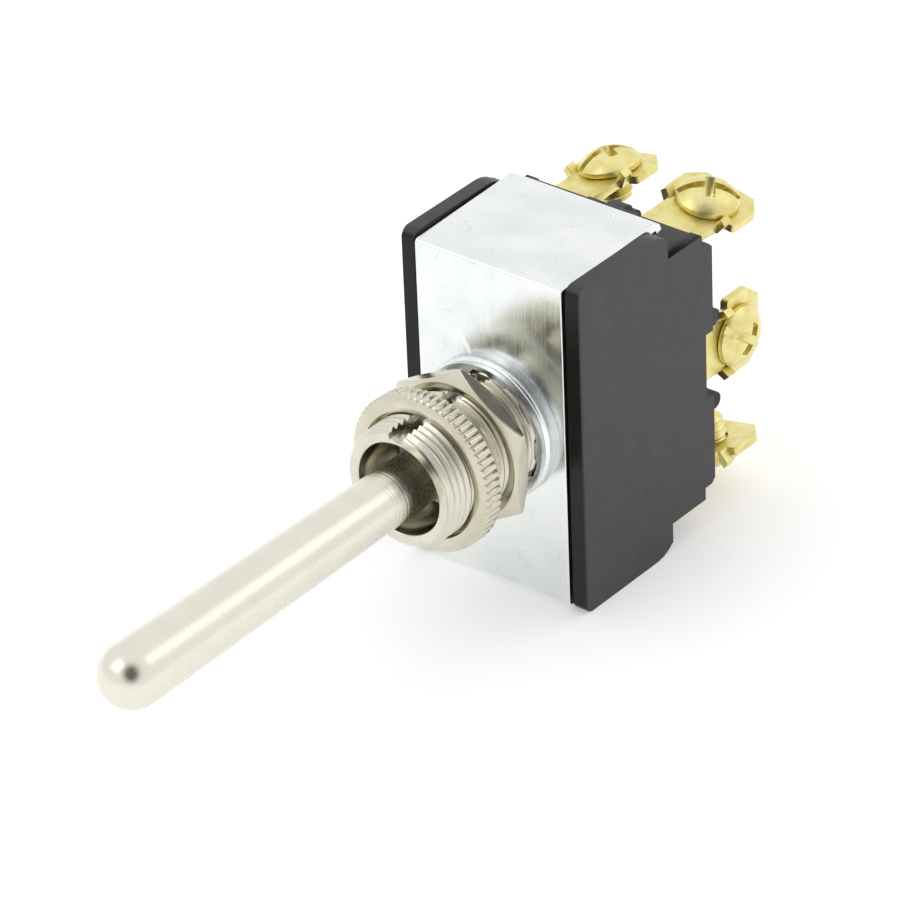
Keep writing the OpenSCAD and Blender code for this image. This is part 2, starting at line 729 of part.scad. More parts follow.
// Domed binding head with a slot across its whole width and a cross recess
module screw(turn) {
    r = head_d / 2;
    rise = head_h - rim_h;
    dome_r = (r * r + rise * rise) / 2 / rise;
    dome_a = asin(r / dome_r);
    color([0.9, 0.83, 0.52]) translate([0, screw_y, 0]) rotate([0, 0, turn]) difference() {
        rotate_extrude() polygon(concat([[0, -shank_len], [shank_d / 2 - 0.4, -shank_len],
                [shank_d / 2, 0.4 - shank_len], [shank_d / 2, 0.03], [r - 0.15, 0.03],
                [r, 0.18], [r, rim_h]],
            [for (i = [1:6]) let (a = dome_a * (1 - i / 6))
                [dome_r * sin(a), head_h - dome_r + dome_r * cos(a)]]));
        translate([-r - 1, -slot_w / 2, rim_h - 0.05]) cube([2 * r + 2, slot_w, head_h]);
        intersection() {
            union() {
                translate([-cross_w / 2, -cross_reach, 0.1]) cube([cross_w, 2 * cross_reach, 3]);
                translate([-cross_reach, -cross_w / 2, 0.1]) cube([2 * cross_reach, cross_w, 3]);
            }
            translate([0, 0, 0.25]) cylinder(r1 = cross_w / 2, r2 = cross_reach + 0.3, h = head_h);
        }
    }
}

module end_screw(turn) {
    end_place() screw(turn);
}

module side_screw(turn) {
    side_place() screw(turn);
}

case();
frame();
bushing();
hex_nut();
ring_nut();
lock_washer();
lever();
pivot_pin();
insulator();
plunger_carrier();
plunger(-1);  // plunger_left
plunger(1);  // plunger_right
spring(-1);  // spring_left
spring(1);  // spring_right
rocker(-1);  // rocker_left
rocker(1);  // rocker_right
fulcrum(-1);  // fulcrum_left
fulcrum(1);  // fulcrum_right
at_end(-1, 1) moving_contact();  // moving_contact_upper_left
at_end(1, 1) moving_contact();  // moving_contact_upper_right
at_end(-1, -1) moving_contact();  // moving_contact_lower_left
at_end(1, -1) moving_contact();  // moving_contact_lower_right
at_end(-1, 1) fixed_contact();  // fixed_contact_upper_left
at_end(1, 1) fixed_contact();  // fixed_contact_upper_right
at_end(-1, -1) fixed_contact();  // fixed_contact_lower_left
at_end(1, -1) fixed_contact();  // fixed_contact_lower_right
at_end(-1, 1) end_terminal();  // terminal_upper_left
at_end(1, 1) end_terminal();  // terminal_upper_right
at_end(-1, 1) side_terminal();  // terminal_middle_left
side_terminal();  // terminal_middle_right
at_end(-1, -1) end_terminal();  // terminal_lower_left
at_end(1, -1) end_terminal();  // terminal_lower_right
at_end(-1, 1) end_screw(upper_turns[0]);  // screw_upper_left
at_end(1, 1) end_screw(upper_turns[1]);  // screw_upper_right
at_end(-1, 1) side_screw(middle_turns[0]);  // screw_middle_left
side_screw(middle_turns[1]);  // screw_middle_right
at_end(-1, -1) end_screw(lower_turns[0]);  // screw_lower_left
at_end(1, -1) end_screw(lower_turns[1]);  // screw_lower_right
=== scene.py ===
import json
import math
import bmesh
import bpy
import numpy as np
from mathutils import Matrix, Vector


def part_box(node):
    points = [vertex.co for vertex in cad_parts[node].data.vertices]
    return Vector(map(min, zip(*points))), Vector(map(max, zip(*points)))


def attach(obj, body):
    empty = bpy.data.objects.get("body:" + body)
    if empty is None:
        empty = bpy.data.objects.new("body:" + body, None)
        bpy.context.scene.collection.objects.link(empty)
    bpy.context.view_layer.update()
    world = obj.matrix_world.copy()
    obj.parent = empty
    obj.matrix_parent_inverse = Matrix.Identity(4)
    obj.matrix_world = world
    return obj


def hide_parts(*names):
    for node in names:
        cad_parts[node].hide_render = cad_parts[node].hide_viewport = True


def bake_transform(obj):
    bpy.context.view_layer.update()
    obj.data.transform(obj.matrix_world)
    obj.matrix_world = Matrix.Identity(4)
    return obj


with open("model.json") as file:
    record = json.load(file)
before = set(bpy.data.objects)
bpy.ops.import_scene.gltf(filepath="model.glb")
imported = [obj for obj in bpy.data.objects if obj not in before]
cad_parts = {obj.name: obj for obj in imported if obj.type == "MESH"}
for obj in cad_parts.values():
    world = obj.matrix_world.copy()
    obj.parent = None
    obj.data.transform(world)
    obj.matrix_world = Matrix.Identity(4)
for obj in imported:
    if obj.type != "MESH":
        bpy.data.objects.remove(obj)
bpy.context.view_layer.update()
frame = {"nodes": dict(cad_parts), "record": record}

MM = 0.001
TURN = 2 * math.pi
MERGE = 1e-6                          # points of a CAD copy closer than this are one point
CAD_NODES = frame["nodes"]
MOUNTS = {m["name"]: m for m in frame["record"]["mounts"]}

# ---- Places, taken from the CAD nodes' boxes ----

BUSHING_LOW, BUSHING_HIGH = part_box("bushing")
RING_LOW, RING_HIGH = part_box("ring_nut")
HEX_LOW, HEX_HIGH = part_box("hex_nut")
LEVER_LOW, LEVER_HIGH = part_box("lever")
CASE_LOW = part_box("case")[0]
FRAME_LOW, FRAME_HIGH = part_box("frame")

# ---- Sizes of the bushing ----

THREAD_PITCH = 25.4 / 32 * MM         # both the bushing and the number 6 screws are 32 to the inch
THREAD_DEPTH = 0.42 * MM
THREAD_R = 5.95 * MM
THREAD_CREST = 0.08                   # half the flat crest, as a share of half a pitch
THREAD_FLANK = 0.8                    # what one flank takes of half a pitch
BUSHING_CHAMFER = 0.45 * MM
KEYWAY_HALF = 0.9 * MM
KEYWAY_FLOOR = 5.0 * MM
KEYWAY_END = 4.5 * MM
MOUTH_R = 4.56 * MM
MOUTH_DEPTH = 5.9 * MM
MOUTH_LAND = 1.6 * MM
MOUTH_ROUND = 0.22 * MM
MOUTH_LIP = 0.5 * MM
SEAT_R = 3.62 * MM
FLANGE_R = 6.35 * MM
FLANGE_T = 1.0 * MM
FLANGE_CHAMFER = 0.25 * MM

# ---- Sizes of the nuts ----

NUT_BORE_R = 6.0 * MM
NUT_SINK = 0.35 * MM
HEX_AF = 14.29 * MM
HEX_TURN = math.radians(90 - 26.8)    # a corner's angle, from +Z towards +X
HEX_FACE_IN = 0.25 * MM               # how far the turned face's edge lies inside the flats
HEX_CONE = math.tan(math.radians(30))
KNURL_TEETH = 64
KNURL_DEPTH = 0.3 * MM
KNURL_POWER = 3.4                     # the higher, the broader the crests and the narrower the grooves
RING_FACE_IN = 0.85 * MM
RING_CONE = math.tan(math.radians(24))
RING_CONE_POWER = 1.15                # over 1 rounds the cone
RING_CONE_END = 1.12                  # the round's last share, where it runs into the knurl
RING_SOFT = 0.02 * MM
RING_EDGE_IN = 0.05 * MM              # where each face's edge starts, inside the cone
RING_EDGE_OUT = 0.03 * MM             # where the front face's edge ends, outside it

# ---- Sizes of the frame's folds and boss ----

BOSS_R = 7.08 * MM
BOSS_H = 1.0 * MM
BOSS_UNDER = 0.85 * MM                # how far the boss's wall runs in under its rim
BOSS_BAND = 0.15 * MM                 # points this near the boss's wall belong to it
BOSS_FOOT = 0.05 * MM                 # and this near the sheet's face to its foot
FRAME_FRONT = FRAME_LOW.y + BOSS_H
FOLD_R = 1.1 * MM
FOLD_TIGHT = 0.4                      # the fold's size as a share of the CAD's
SIDE_IN = 0.22 * MM
SIDE_FROM = 0.9 * FRAME_HIGH.x
LEG_LIFT = 0.35 * MM
LEG_LIFT_FROM = 5.0 * MM
LEG_FROM = 12 * MM
NEAR = 0.02 * MM                      # slack in finding a point by its place

# ---- Sizes of the terminal screws ----

SHANK_R = 1.7 * MM
SHANK_LEN = 3.2 * MM
SHANK_CHAMFER = 0.5 * MM
SHANK_SUNK = 0.03 * MM                # how far the shank runs up into the head
HEAD_CUT = 0.02 * MM


# ---- Meshes ----

def link(name, data):
    """A new object of that name in the scene, at the origin."""
    made = bpy.data.objects.new(name, data)
    bpy.context.scene.collection.objects.link(made)
    return made


def dipped(mesh, material):
    """Gives a mesh one material only."""
    mesh.materials.clear()
    mesh.materials.append(material)


def finished(name, mesh, material, body, sharp=32.0):
    """Makes a mesh the finished piece of that name: smooth but for its sharp edges, in its material and riding on a
    body."""
    mesh.shade_smooth()
    mesh.set_sharp_from_angle(angle=math.radians(sharp))
    dipped(mesh, material)
    piece = link(name, mesh)
    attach(piece, body)
    return piece


def rounded(piece, width, segments=2, angle=28.0):
    """Rounds a piece's edges, as a press, a mould or a tumbler leaves them."""
    bevel = piece.modifiers.new("edges", "BEVEL")
    bevel.width = width
    bevel.segments = segments
    bevel.limit_method = "ANGLE"
    bevel.angle_limit = math.radians(angle)
    bevel.harden_normals = True
    bevel.use_clamp_overlap = True


def merged(node):
    """A CAD node's copy on the workbench, its loose triangles merged into one skin."""
    work = bmesh.new()
    work.from_mesh(CAD_NODES[node].data)
    bmesh.ops.remove_doubles(work, verts=work.verts, dist=MERGE)
    return work


def flattened(work):
    """Makes each flat face of a copy whole again."""
    bmesh.ops.dissolve_limit(work, angle_limit=math.radians(1), verts=work.verts, edges=work.edges)


def off_bench(work, name):
    """The workbench's copy as a mesh."""
    mesh = bpy.data.meshes.new(name)
    work.to_mesh(mesh)
    work.free()
    return mesh


def dressed(node, material, width, sharp=32.0):
    """A CAD node's copy, merged and with its flat faces made whole, whose edges are rounded by a bevel."""
    work = merged(node)
    flattened(work)
    name = node + "_dressed"
    piece = finished(name, off_bench(work, name), material, "body", sharp)
    rounded(piece, width)
    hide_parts(node)
    return piece


def grid_mesh(name, grid, gap=2e-7):
    """A grid of points (rows, columns, 3) as one mesh of quads: neighbours in the grid make a face, and rows or columns
    that end where they began are merged into a closed surface, whose faces are then turned outwards."""
    rows, cols = grid.shape[:2]
    index = np.arange(rows * cols).reshape(rows, cols)
    faces = np.stack([index[:-1, :-1], index[:-1, 1:], index[1:, 1:], index[1:, :-1]], -1).reshape(-1, 4)
    mesh = bpy.data.meshes.new(name)
    mesh.from_pydata(grid.reshape(-1, 3), [], faces)
    work = bmesh.new()
    work.from_mesh(mesh)
    bmesh.ops.remove_doubles(work, verts=work.verts, dist=gap)
    bmesh.ops.dissolve_degenerate(work, edges=work.edges, dist=gap)
    bmesh.ops.recalc_face_normals(work, faces=work.faces)
    work.to_mesh(mesh)
    work.free()
    return mesh


def around(columns):
    """Evenly spaced angles of one full turn, as a row whose last is the first again."""
    return np.linspace(0, TURN, columns + 1)[None, :]


def turned(rows, angle):
    """Rows of (radius, depth), each a number or one value for each angle, turned about the bushing's axis:
    x = radius sin(angle), y = depth, z = radius cos(angle)."""
    whole = []
    for radius, depth in rows:
        radius, depth, turn = np.broadcast_arrays(radius, depth, angle)
        whole.append(np.stack([radius * np.sin(turn), depth, radius * np.cos(turn)], -1))
    return np.concatenate(whole)


def bend(centre_r, centre_y, radius, start, end, steps):
    """Rows (radius, depth) on an arc: centre + radius (cos, sin) of angles from start to end in degrees."""
    a = np.radians(np.linspace(start, end, steps + 1))
    return np.stack([centre_r + radius * np.cos(a), centre_y + radius * np.sin(a)], -1)


def thread_radius(angle, depth, crest_r):
    """Radius of a 60 degree thread at an angle and depth: the phase is depth / pitch + angle / turn, and the radius
    falls from the flat crest along straight flanks to the root halfway between crests."""
    phase = (depth / THREAD_PITCH + angle / TURN) % 1.0
    away = np.abs(phase - 0.5) * 2.0            # 1 on the crest's middle, 0 in the root
    return crest_r - THREAD_DEPTH * (1.0 - np.clip((away - THREAD_CREST) / THREAD_FLANK, 0.0, 1.0))


def helix_rows(start, end, angle, per_turn):
    """Depths of rows that follow the thread: each row climbs one pitch a turn, and is held between start and end."""
    turns = (end - start) / THREAD_PITCH + 2.0
    row = np.arange(int(turns * per_turn) + 1)[:, None] / per_turn
    return np.clip(start + (row - angle / TURN) * THREAD_PITCH, start, end)


# ---- Materials ----

def linear(code):
    """An sRGB hex colour as linear red, green, blue and alpha."""
    srgb = np.array([int(code[i:i + 2], 16) / 255 for i in (1, 3, 5)])
    return (*np.where(srgb <= 0.04045, srgb / 12.92, ((srgb + 0.055) / 1.055) ** 2.4), 1.0)


def join(tree, node, inputs):
    """Fills a node's inputs, given by name or in their order: a node or one of its outputs is linked from, a hex
    colour is made linear, and any other value is set."""
    for name, value in inputs.items() if isinstance(inputs, dict) else enumerate(inputs):
        if isinstance(value, bpy.types.Node):
            value = value.outputs[0]
        if isinstance(value, bpy.types.NodeSocket):
            tree.links.new(value, node.inputs[name])
        else:
            node.inputs[name].default_value = linear(value) if isinstance(value, str) else value
    return node


def add(tree, kind, inputs=(), **settings):
    """Adds a shader node of that kind with its settings, values and links."""
    made = tree.nodes.new("ShaderNode" + kind)
    for name, value in settings.items():
        setattr(made, name, value)
    return join(tree, made, inputs)


def surface(name):
    """A new material with its tree, its shader and the piece's own coordinates in millimetres."""
    material = bpy.data.materials.new(name)
    material.use_nodes = True
    tree = material.node_tree
    place = add(tree, "TexCoord").outputs["Object"]
    mm = add(tree, "VectorMath", (place, (1 / MM,) * 3), operation="MULTIPLY")
    return material, tree, tree.nodes["Principled BSDF"], mm


def mottle(tree, mm, across, detail=3.0, roughness=0.5):
    """A cloudy pattern from 0 to 1, whose patches are that many millimetres across along x, y and z. A length of 0
    leaves that direction out. What is finer than about 0.2 mm on the real piece is drawn at about that, to show."""
    scale = tuple(1 / length if length else 0.0 for length in across)
    fitted = add(tree, "Mapping", {"Vector": mm, "Scale": scale})
    return add(tree, "TexNoise", {"Vector": fitted, "Scale": 1.0, "Detail": detail, "Roughness": roughness})


def plated(name, bright, dull, rough, ring_mm=0.0, ring_depth=0.0, polished_mm=None):
    """Bright plating over turned brass: a warm mirror with soft clouds 3 mm across, and the lathe's rings left in the
    metal under it. Up to the depth polished_mm along the bushing's axis, the rings are polished away."""
    material, tree, shader, mm = surface(name)
    cloud = mottle(tree, mm, (3, 3, 3))
    fine = mottle(tree, mm, (0.4, 0.4, 0.4), detail=2.0)
    normal = add(tree, "Bump", {"Height": fine, "Distance": 0.0006 * MM, "Strength": 1.0})
    if ring_mm:
        rings = mottle(tree, mm, (0, ring_mm, 0), detail=1.0)
        if polished_mm is not None:
            depth = add(tree, "SeparateXYZ", (mm,)).outputs["Y"]
            unpolished = add(tree, "MapRange", (depth, polished_mm, polished_mm + 1.5))
            rings = add(tree, "Math", (rings, unpolished), operation="MULTIPLY")
        normal = add(tree, "Bump", {"Height": rings, "Distance": ring_depth * MM, "Strength": 1.0, "Normal": normal})
    clouded = add(tree, "MapRange", (cloud, 0.35, 0.65))
    join(tree, shader, {
        "Base Color": add(tree, "Mix", {"Factor": clouded, 6: bright, 7: dull}, data_type="RGBA").outputs[2],
        "Metallic": 1.0,
        "Roughness": add(tree, "MapRange", (fine, 0.3, 0.7, rough * 0.9, rough * 1.15)),
        "Normal": normal})
    return material


def zinc_plated_sheet(name):
    """Bright zinc on cold-rolled sheet: a bluish near-mirror, with faint rolling lines along the strip, a few thin
    curved scratches where a cloudy pattern crosses its middle, and dull specks."""
    material, tree, shader, mm = surface(name)
    cloud = mottle(tree, mm, (5, 4, 6), detail=4.0)
    lines = mottle(tree, mm, (0.16, 14, 14), detail=2.0)
    waves = mottle(tree, mm, (2.6, 2.6, 2.6), detail=2.0)
    clouded = add(tree, "MapRange", (cloud, 0.35, 0.65))
    clean = add(tree, "Mix", {"Factor": clouded, 6: "#F1F4F3", 7: "#E6EAEA"}, data_type="RGBA").outputs[2]
    wander = mottle(tree, mm, (4.5, 4.5, 3.4), detail=1.0)
    on_middle = add(tree, "Math", (wander, 0.5, 0.0035), operation="COMPARE")
    patch = add(tree, "MapRange", (mottle(tree, mm, (3.1, 2.3, 2.7), detail=2.0), 0.5, 0.56))
    scratch = add(tree, "Math", (on_middle, patch), operation="MULTIPLY")
    faint = add(tree, "Math", (scratch, 0.2), operation="MULTIPLY")
    speck = add(tree, "MapRange", (mottle(tree, mm, (0.3, 0.3, 0.3), detail=1.0), 0.74, 0.8))
    dull = add(tree, "Math", (speck, 0.7), operation="MULTIPLY")
    marks = add(tree, "Math", (faint, dull), operation="MAXIMUM")
    clouds_gloss = add(tree, "MapRange", (cloud, 0.3, 0.7, 0.14, 0.24))
    lines_gloss = add(tree, "MapRange", (lines, 0.3, 0.7, -0.03, 0.06))
    wavy = add(tree, "Bump", {"Height": waves, "Distance": 0.012 * MM, "Strength": 1.0})
    join(tree, shader, {
        "Base Color": add(tree, "Mix", {"Factor": marks, 6: clean, 7: "#9B9C95"}, data_type="RGBA").outputs[2],
        "Metallic": 1.0,
        "Roughness": add(tree, "Math", (clouds_gloss, lines_gloss), operation="ADD"),
        "Normal": add(tree, "Bump", {"Height": lines, "Distance": 0.0012 * MM, "Strength": 1.0, "Normal": wavy})})
    return material


def moulded_phenolic(name, dark, light, rough=0.42, painted_shade_rim_mm=None):
    """Phenolic from a polished mould: a satin skin with a fine eggshell grain and a few paler rubs. Up to the depth
    given along the bushing's axis, the front rim is painted near-black and reflects less: painted shade for the dim
    light on the case's front face. The rim is also glossier."""
    material, tree, shader, mm = surface(name)
    rubs = mottle(tree, mm, (2.2, 2.2, 2.2), detail=6.0, roughness=0.65)
    rubbed = add(tree, "MapRange", (rubs, 0.42, 0.72))
    skin = add(tree, "Mix", {"Factor": rubbed, 6: dark, 7: light}, data_type="RGBA").outputs[2]
    satin = add(tree, "MapRange", (rubs, 0.3, 0.7, rough * 0.9, rough * 1.15))
    if painted_shade_rim_mm is not None:
        depth = add(tree, "SeparateXYZ", (mm,)).outputs["Y"]
        behind_painted_shade = add(tree, "MapRange", (depth, painted_shade_rim_mm, painted_shade_rim_mm + 0.25))
        # painted shade: in front of that depth the skin is mixed to #141212 and the specular level drops from 0.5 to
        # 0.28, standing in for the dim light on the case's front face
        skin = add(tree, "Mix", {"Factor": behind_painted_shade, 6: "#141212", 7: skin}, data_type="RGBA").outputs[2]
        glossier = add(tree, "MapRange", (behind_painted_shade, 0.0, 1.0, 0.6, 1.0))
        satin = add(tree, "Math", (satin, glossier), operation="MULTIPLY")
        join(tree, shader, {"Specular IOR Level": add(tree, "MapRange", (behind_painted_shade, 0.0, 1.0, 0.28, 0.5))})
    grain = mottle(tree, mm, (0.22, 0.22, 0.22))
    join(tree, shader, {
        "Base Color": skin,
        "Roughness": satin,
        "IOR": 1.46,
        "Normal": add(tree, "Bump", {"Height": grain, "Distance": 0.014 * MM, "Strength": 1.0})})
    return material


def stamped_brass(name, bright, dull, rough, line_mm=0.2):
    """Bright-dipped brass strip: yellow and glossy, with faint draw lines and a cloudy darker film."""
    material, tree, shader, mm = surface(name)
    film = add(tree, "MapRange", (mottle(tree, mm, (1.6, 1.6, 1.6), detail=4.0), 0.4, 0.75))
    lines = mottle(tree, mm, (line_mm, 6, line_mm), detail=2.0)
    join(tree, shader, {
        "Base Color": add(tree, "Mix", {"Factor": film, 6: bright, 7: dull}, data_type="RGBA").outputs[2],
        "Metallic": 1.0,
        "Roughness": add(tree, "MapRange", (lines, 0.3, 0.7, rough * 0.8, rough * 1.35)),
        "Normal": add(tree, "Bump", {"Height": lines, "Distance": 0.004 * MM, "Strength": 1.0})})
    return material


def vulcanised_fibre(name):
    """Hard fibre sheet: matt red-brown paper layers with short fibres."""
    material, tree, shader, mm = surface(name)
    fibres = mottle(tree, mm, (1.2, 0.2, 0.2), detail=5.0)
    join(tree, shader, {
        "Base Color": add(tree, "Mix", {"Factor": fibres, 6: "#3A241A", 7: "#5B3A28"}, data_type="RGBA").outputs[2],
        "Roughness": 0.75,
        "Normal": add(tree, "Bump", {"Height": fibres, "Distance": 0.02 * MM, "Strength": 1.0})})
    return material


def drawn_metal(name, bright, dull, rough):
    """Drawn wire, pin or rolled contact: a cool satin metal, with fine lines along the draw."""
    material, tree, shader, mm = surface(name)
    lines = mottle(tree, mm, (0.9, 0.1, 0.1))
    join(tree, shader, {
        "Base Color": add(tree, "Mix", {"Factor": lines, 6: bright, 7: dull}, data_type="RGBA").outputs[2],
        "Metallic": 1.0,
        "Roughness": add(tree, "MapRange", (lines, 0.3, 0.7, rough * 0.8, rough * 1.3)),
        "Normal": add(tree, "Bump", {"Height": lines, "Distance": 0.003 * MM, "Strength": 1.0})})
    return material


ZINC = zinc_plated_sheet("bright_zinc_on_rolled_steel")
NICKEL_LEVER = plated("nickel_on_turned_brass_lever", "#E6E3D6", "#E2DFD1", 0.25, ring_mm=0.22, ring_depth=0.02,
                      polished_mm=LEVER_LOW.y / MM + 2.6)
NICKEL_BUSHING = plated("nickel_on_threaded_brass", "#DEDBCF", "#D2CEC0", 0.2, ring_mm=0.15, ring_depth=0.003)
NICKEL_NUTS = plated("nickel_on_turned_brass_nuts", "#D7D3C2", "#CCC7B4", 0.2)
PLATED_WASHER = plated("zinc_on_stamped_spring_steel", "#E6E9E8", "#D3D7D6", 0.24)
# the case's front rim, 0.12 mm deep from the case's front, carries painted shade
PHENOLIC = moulded_phenolic("black_moulded_phenolic", "#322F32", "#403D40", painted_shade_rim_mm=CASE_LOW.y / MM + 0.12)
CARRIER = moulded_phenolic("brown_moulded_phenolic", "#5B2F1C", "#74402A", 0.5)
FIBRE = vulcanised_fibre("vulcanised_fibre")
BRASS = stamped_brass("bright_dipped_stamped_brass", "#EDE3A0", "#DCCB7C", 0.36)
SCREW_BRASS = stamped_brass("bright_dipped_brass_screw", "#F0E6A4", "#DDCC7E", 0.34, 0.5)
PIN_STEEL = drawn_metal("drawn_steel_pin", "#B4B4B6", "#8F8F93", 0.28)
SPRING_STEEL = drawn_metal("oiled_spring_wire", "#9C9CA0", "#77777C", 0.32)
SILVER = drawn_metal("silver_contact_face", "#E9E8E4", "#CFCDC7", 0.3)


# ---- Bushing with its thread and keyway ----

def bushing_mesh(columns=288, step=1e-4):
    """The outside's radius is the least of the thread, the end chamfer at 45 degrees and, between the keyway's walls,
    its flat floor; the inside is the mouth, a cone and the ball's seat. The columns are even round the thread, with a
    double column, one step apart, at each wall of the keyway."""
    edge = math.asin(KEYWAY_HALF / THREAD_R)
    in_keyway = np.linspace(-edge, edge, 9)
    on_thread = np.linspace(edge + step, TURN - edge - step, columns + 1)
    angle = np.concatenate([in_keyway, on_thread, [TURN - edge]])[None, :]
    front, back = BUSHING_LOW.y, BUSHING_HIGH.y - FLANGE_T

    depth = helix_rows(front, back, angle, 10)
    chamfer = THREAD_R - BUSHING_CHAMFER + (depth - front)
    radius = np.minimum(thread_radius(angle, depth, THREAD_R), chamfer)
    off = np.abs((angle + math.pi) % TURN - math.pi)
    keyway = KEYWAY_FLOOR / np.cos(np.minimum(off, 1.0))
    cut = (off <= edge + 1e-9) & (depth < KEYWAY_END)
    sleeve = [(np.where(cut, np.minimum(keyway, radius), radius), depth)]

    seat_front = front + MOUTH_DEPTH + MOUTH_R - SEAT_R
    inside = [(SEAT_R, BUSHING_HIGH.y), (SEAT_R, seat_front), (MOUTH_R, front + MOUTH_DEPTH),
              (MOUTH_R, front + MOUTH_LAND),
              *bend(MOUTH_R + MOUTH_ROUND, front + MOUTH_ROUND, MOUTH_ROUND, 180, 270, 3),
              (MOUTH_R + MOUTH_LIP, front)]
    flange = [(FLANGE_R - FLANGE_CHAMFER, back), (FLANGE_R, back + FLANGE_CHAMFER), (FLANGE_R, BUSHING_HIGH.y),
              (SEAT_R, BUSHING_HIGH.y)]
    grid = turned(inside + sleeve + flange, angle)
    return grid_mesh("bushing_threaded", np.concatenate([grid, grid[:, :1]], 1))


bushing = finished("bushing_threaded", bushing_mesh(), NICKEL_BUSHING, "body", 28.0)
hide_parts("bushing")


# ---- Nuts ----

def nut_bore(low, high):
    """The bore of a nut from its back to its front, with a countersink at 45 degrees on each face."""
    wide = NUT_BORE_R + NUT_SINK
    return [(wide, high), (NUT_BORE_R, high - NUT_SINK), (NUT_BORE_R, low + NUT_SINK), (wide, low)]


def hex_nut_mesh(columns=32):
    """Over a hexagon the wall stands half the flats over the cosine of the angle from a flat's middle; a cone of 30
    degrees cuts each corner, so the chamfer's depth is (wall - face) tan 30 and its edge is the true arc."""
    flat = TURN / 6
    angle = around(6 * columns)
    wall = HEX_AF / 2 / np.cos(angle % flat - flat / 2)
    face = HEX_AF / 2 - HEX_FACE_IN
    drop = (wall - face) * HEX_CONE
    low, high = HEX_LOW.y, HEX_HIGH.y
    bore = nut_bore(low, high)
    outside = [(face, low), (wall, low + drop), (wall, (low + high) / 2), (wall, high - drop), (face, high)]
    return grid_mesh("hex_nut_chamfered", turned(bore + outside + bore[:1], HEX_TURN + angle))


hex_nut = finished("hex_nut_chamfered", hex_nut_mesh(), NICKEL_NUTS, "hex_nut", 24.0)
rounded(hex_nut, 0.07 * MM, 2, 20.0)
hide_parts("hex_nut")


def ring_nut_mesh():
    """Straight knurl: each tooth is a broad crest between two narrow grooves, radius = outer - depth times the tooth's
    phase to a power, cut by a rounded cone at both faces."""
    angle = around(KNURL_TEETH * 10)
    phase = np.abs(angle * KNURL_TEETH / TURN % 1.0 - 0.5) * 2.0
    tooth = RING_HIGH.x - KNURL_DEPTH * phase ** KNURL_POWER
    face = RING_HIGH.x - RING_FACE_IN
    drop = np.maximum(tooth - face, 0) * RING_CONE

    def cone(end, inwards):
        """Rows from the edge of the face at one end to the knurl: the depth grows as the share t of the way to the
        tooth, to the cone's power."""
        rounds = [(face + (tooth - face) * t,
                   end + inwards * (drop * t ** RING_CONE_POWER + RING_SOFT * (1 - t))) for t in (0.35, 0.7, 0.92)]
        return [(face - RING_EDGE_IN, end), *rounds, (tooth, end + inwards * drop * RING_CONE_END)]

    low, high = RING_LOW.y, RING_HIGH.y
    bore, front = nut_bore(low, high), cone(low, 1)
    front.insert(1, (face + RING_EDGE_OUT, low + RING_SOFT))
    return grid_mesh("ring_nut_knurled", turned(bore + front + cone(high, -1)[::-1] + bore[:1], angle))


ring_nut = finished("ring_nut_knurled", ring_nut_mesh(), NICKEL_NUTS, "ring_nut", 40.0)
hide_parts("ring_nut")


# ---- Lever ----

def lever_mesh():
    """A rounded tip, a long taper from the tip to the root, a rolled shoulder, the neck, the pivot ball, the tail and
    the spigot, all turned about the bushing's axis."""
    tip_r, root_r, neck_r, ball_r, tail_r, spigot_r, chamfer = (
        v * MM for v in (3.05, 2.62, 1.9, 3.5, 1.9, 1.4, 0.3))
    pivot, shoulder, carrier = (v * MM for v in (-0.2, -4.6, 8.3))
    tip, end = LEVER_LOW.y, LEVER_HIGH.y
    shaft_start, shaft_end = tip + tip_r, shoulder - (root_r - neck_r)
    share = np.linspace(0.05, 0.95, 10)
    nose = bend(0, shaft_start, tip_r, -90, 0, 28)
    shaft = np.stack([tip_r + (root_r - tip_r) * share, shaft_start + (shaft_end - shaft_start) * share], -1)
    roll = bend(neck_r, shaft_end, root_r - neck_r, 0, 90, 8)
    start = math.degrees(math.asin(neck_r / ball_r))
    ball = bend(0, pivot, ball_r, start - 90, 90 - start, 28)
    tail = [(tail_r, carrier), (spigot_r, carrier), (spigot_r, end - chamfer), (spigot_r - chamfer, end), (0, end)]
    return grid_mesh("lever_turned", turned([*nose, *shaft, *roll, *ball, *tail], around(192)))


lever = finished("lever_turned", lever_mesh(), NICKEL_LEVER, "lever", 35.0)
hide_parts("lever")


# ---- Case, frame and terminals ----

dressed("case", PHENOLIC, 0.16 * MM)


def settled_frame(mesh):
    """Moves the frame copy's points to the tolerances of a folded sheet that the CAD leaves out: the sides stand in by
    SIDE_IN, the legs rise by LEG_LIFT from their middle to their lip along an S curve, the folds are tighter by drawing
    their points to the sharp corner, and the boss's wall runs in under its rim."""
    points = np.empty(len(mesh.vertices) * 3)
    mesh.vertices.foreach_get("co", points)
    x, y, z = points.reshape(-1, 3).T.copy()
    front, top = FRAME_FRONT, FRAME_HIGH.z
    outer = np.hypot(y - front - FOLD_R, np.abs(z) - top + FOLD_R) > FOLD_R - NEAR
    fold = outer & (y < front + FOLD_R + NEAR) & (np.abs(z) > top - FOLD_R - NEAR)
    z = np.where(fold, np.sign(z) * (top - (top - np.abs(z)) * FOLD_TIGHT), z)
    y = np.where(fold, front + (y - front) * FOLD_TIGHT, y)
    rise = np.clip((y - front - LEG_LIFT_FROM) / (FRAME_HIGH.y - front - LEG_LIFT_FROM), 0, 1)
    rise = rise * rise * (3 - 2 * rise)
    z = z + np.where(np.abs(z) > LEG_FROM, np.sign(z) * LEG_LIFT * rise, 0)
    x = x - np.where(np.abs(x) > SIDE_FROM, np.sign(x) * SIDE_IN, 0)
    radius = np.hypot(x, z)
    base = (np.abs(radius - BOSS_R) < BOSS_BAND) & (np.abs(y - front) < BOSS_FOOT)
    shrink = np.where(base, (BOSS_R - BOSS_UNDER) / np.maximum(radius, 1e-6), 1.0)
    mesh.vertices.foreach_set("co", np.stack([x * shrink, y, z * shrink], -1).ravel())
    mesh.update()


settled_frame(dressed("frame", ZINC, 0.1 * MM, sharp=26.0).data)

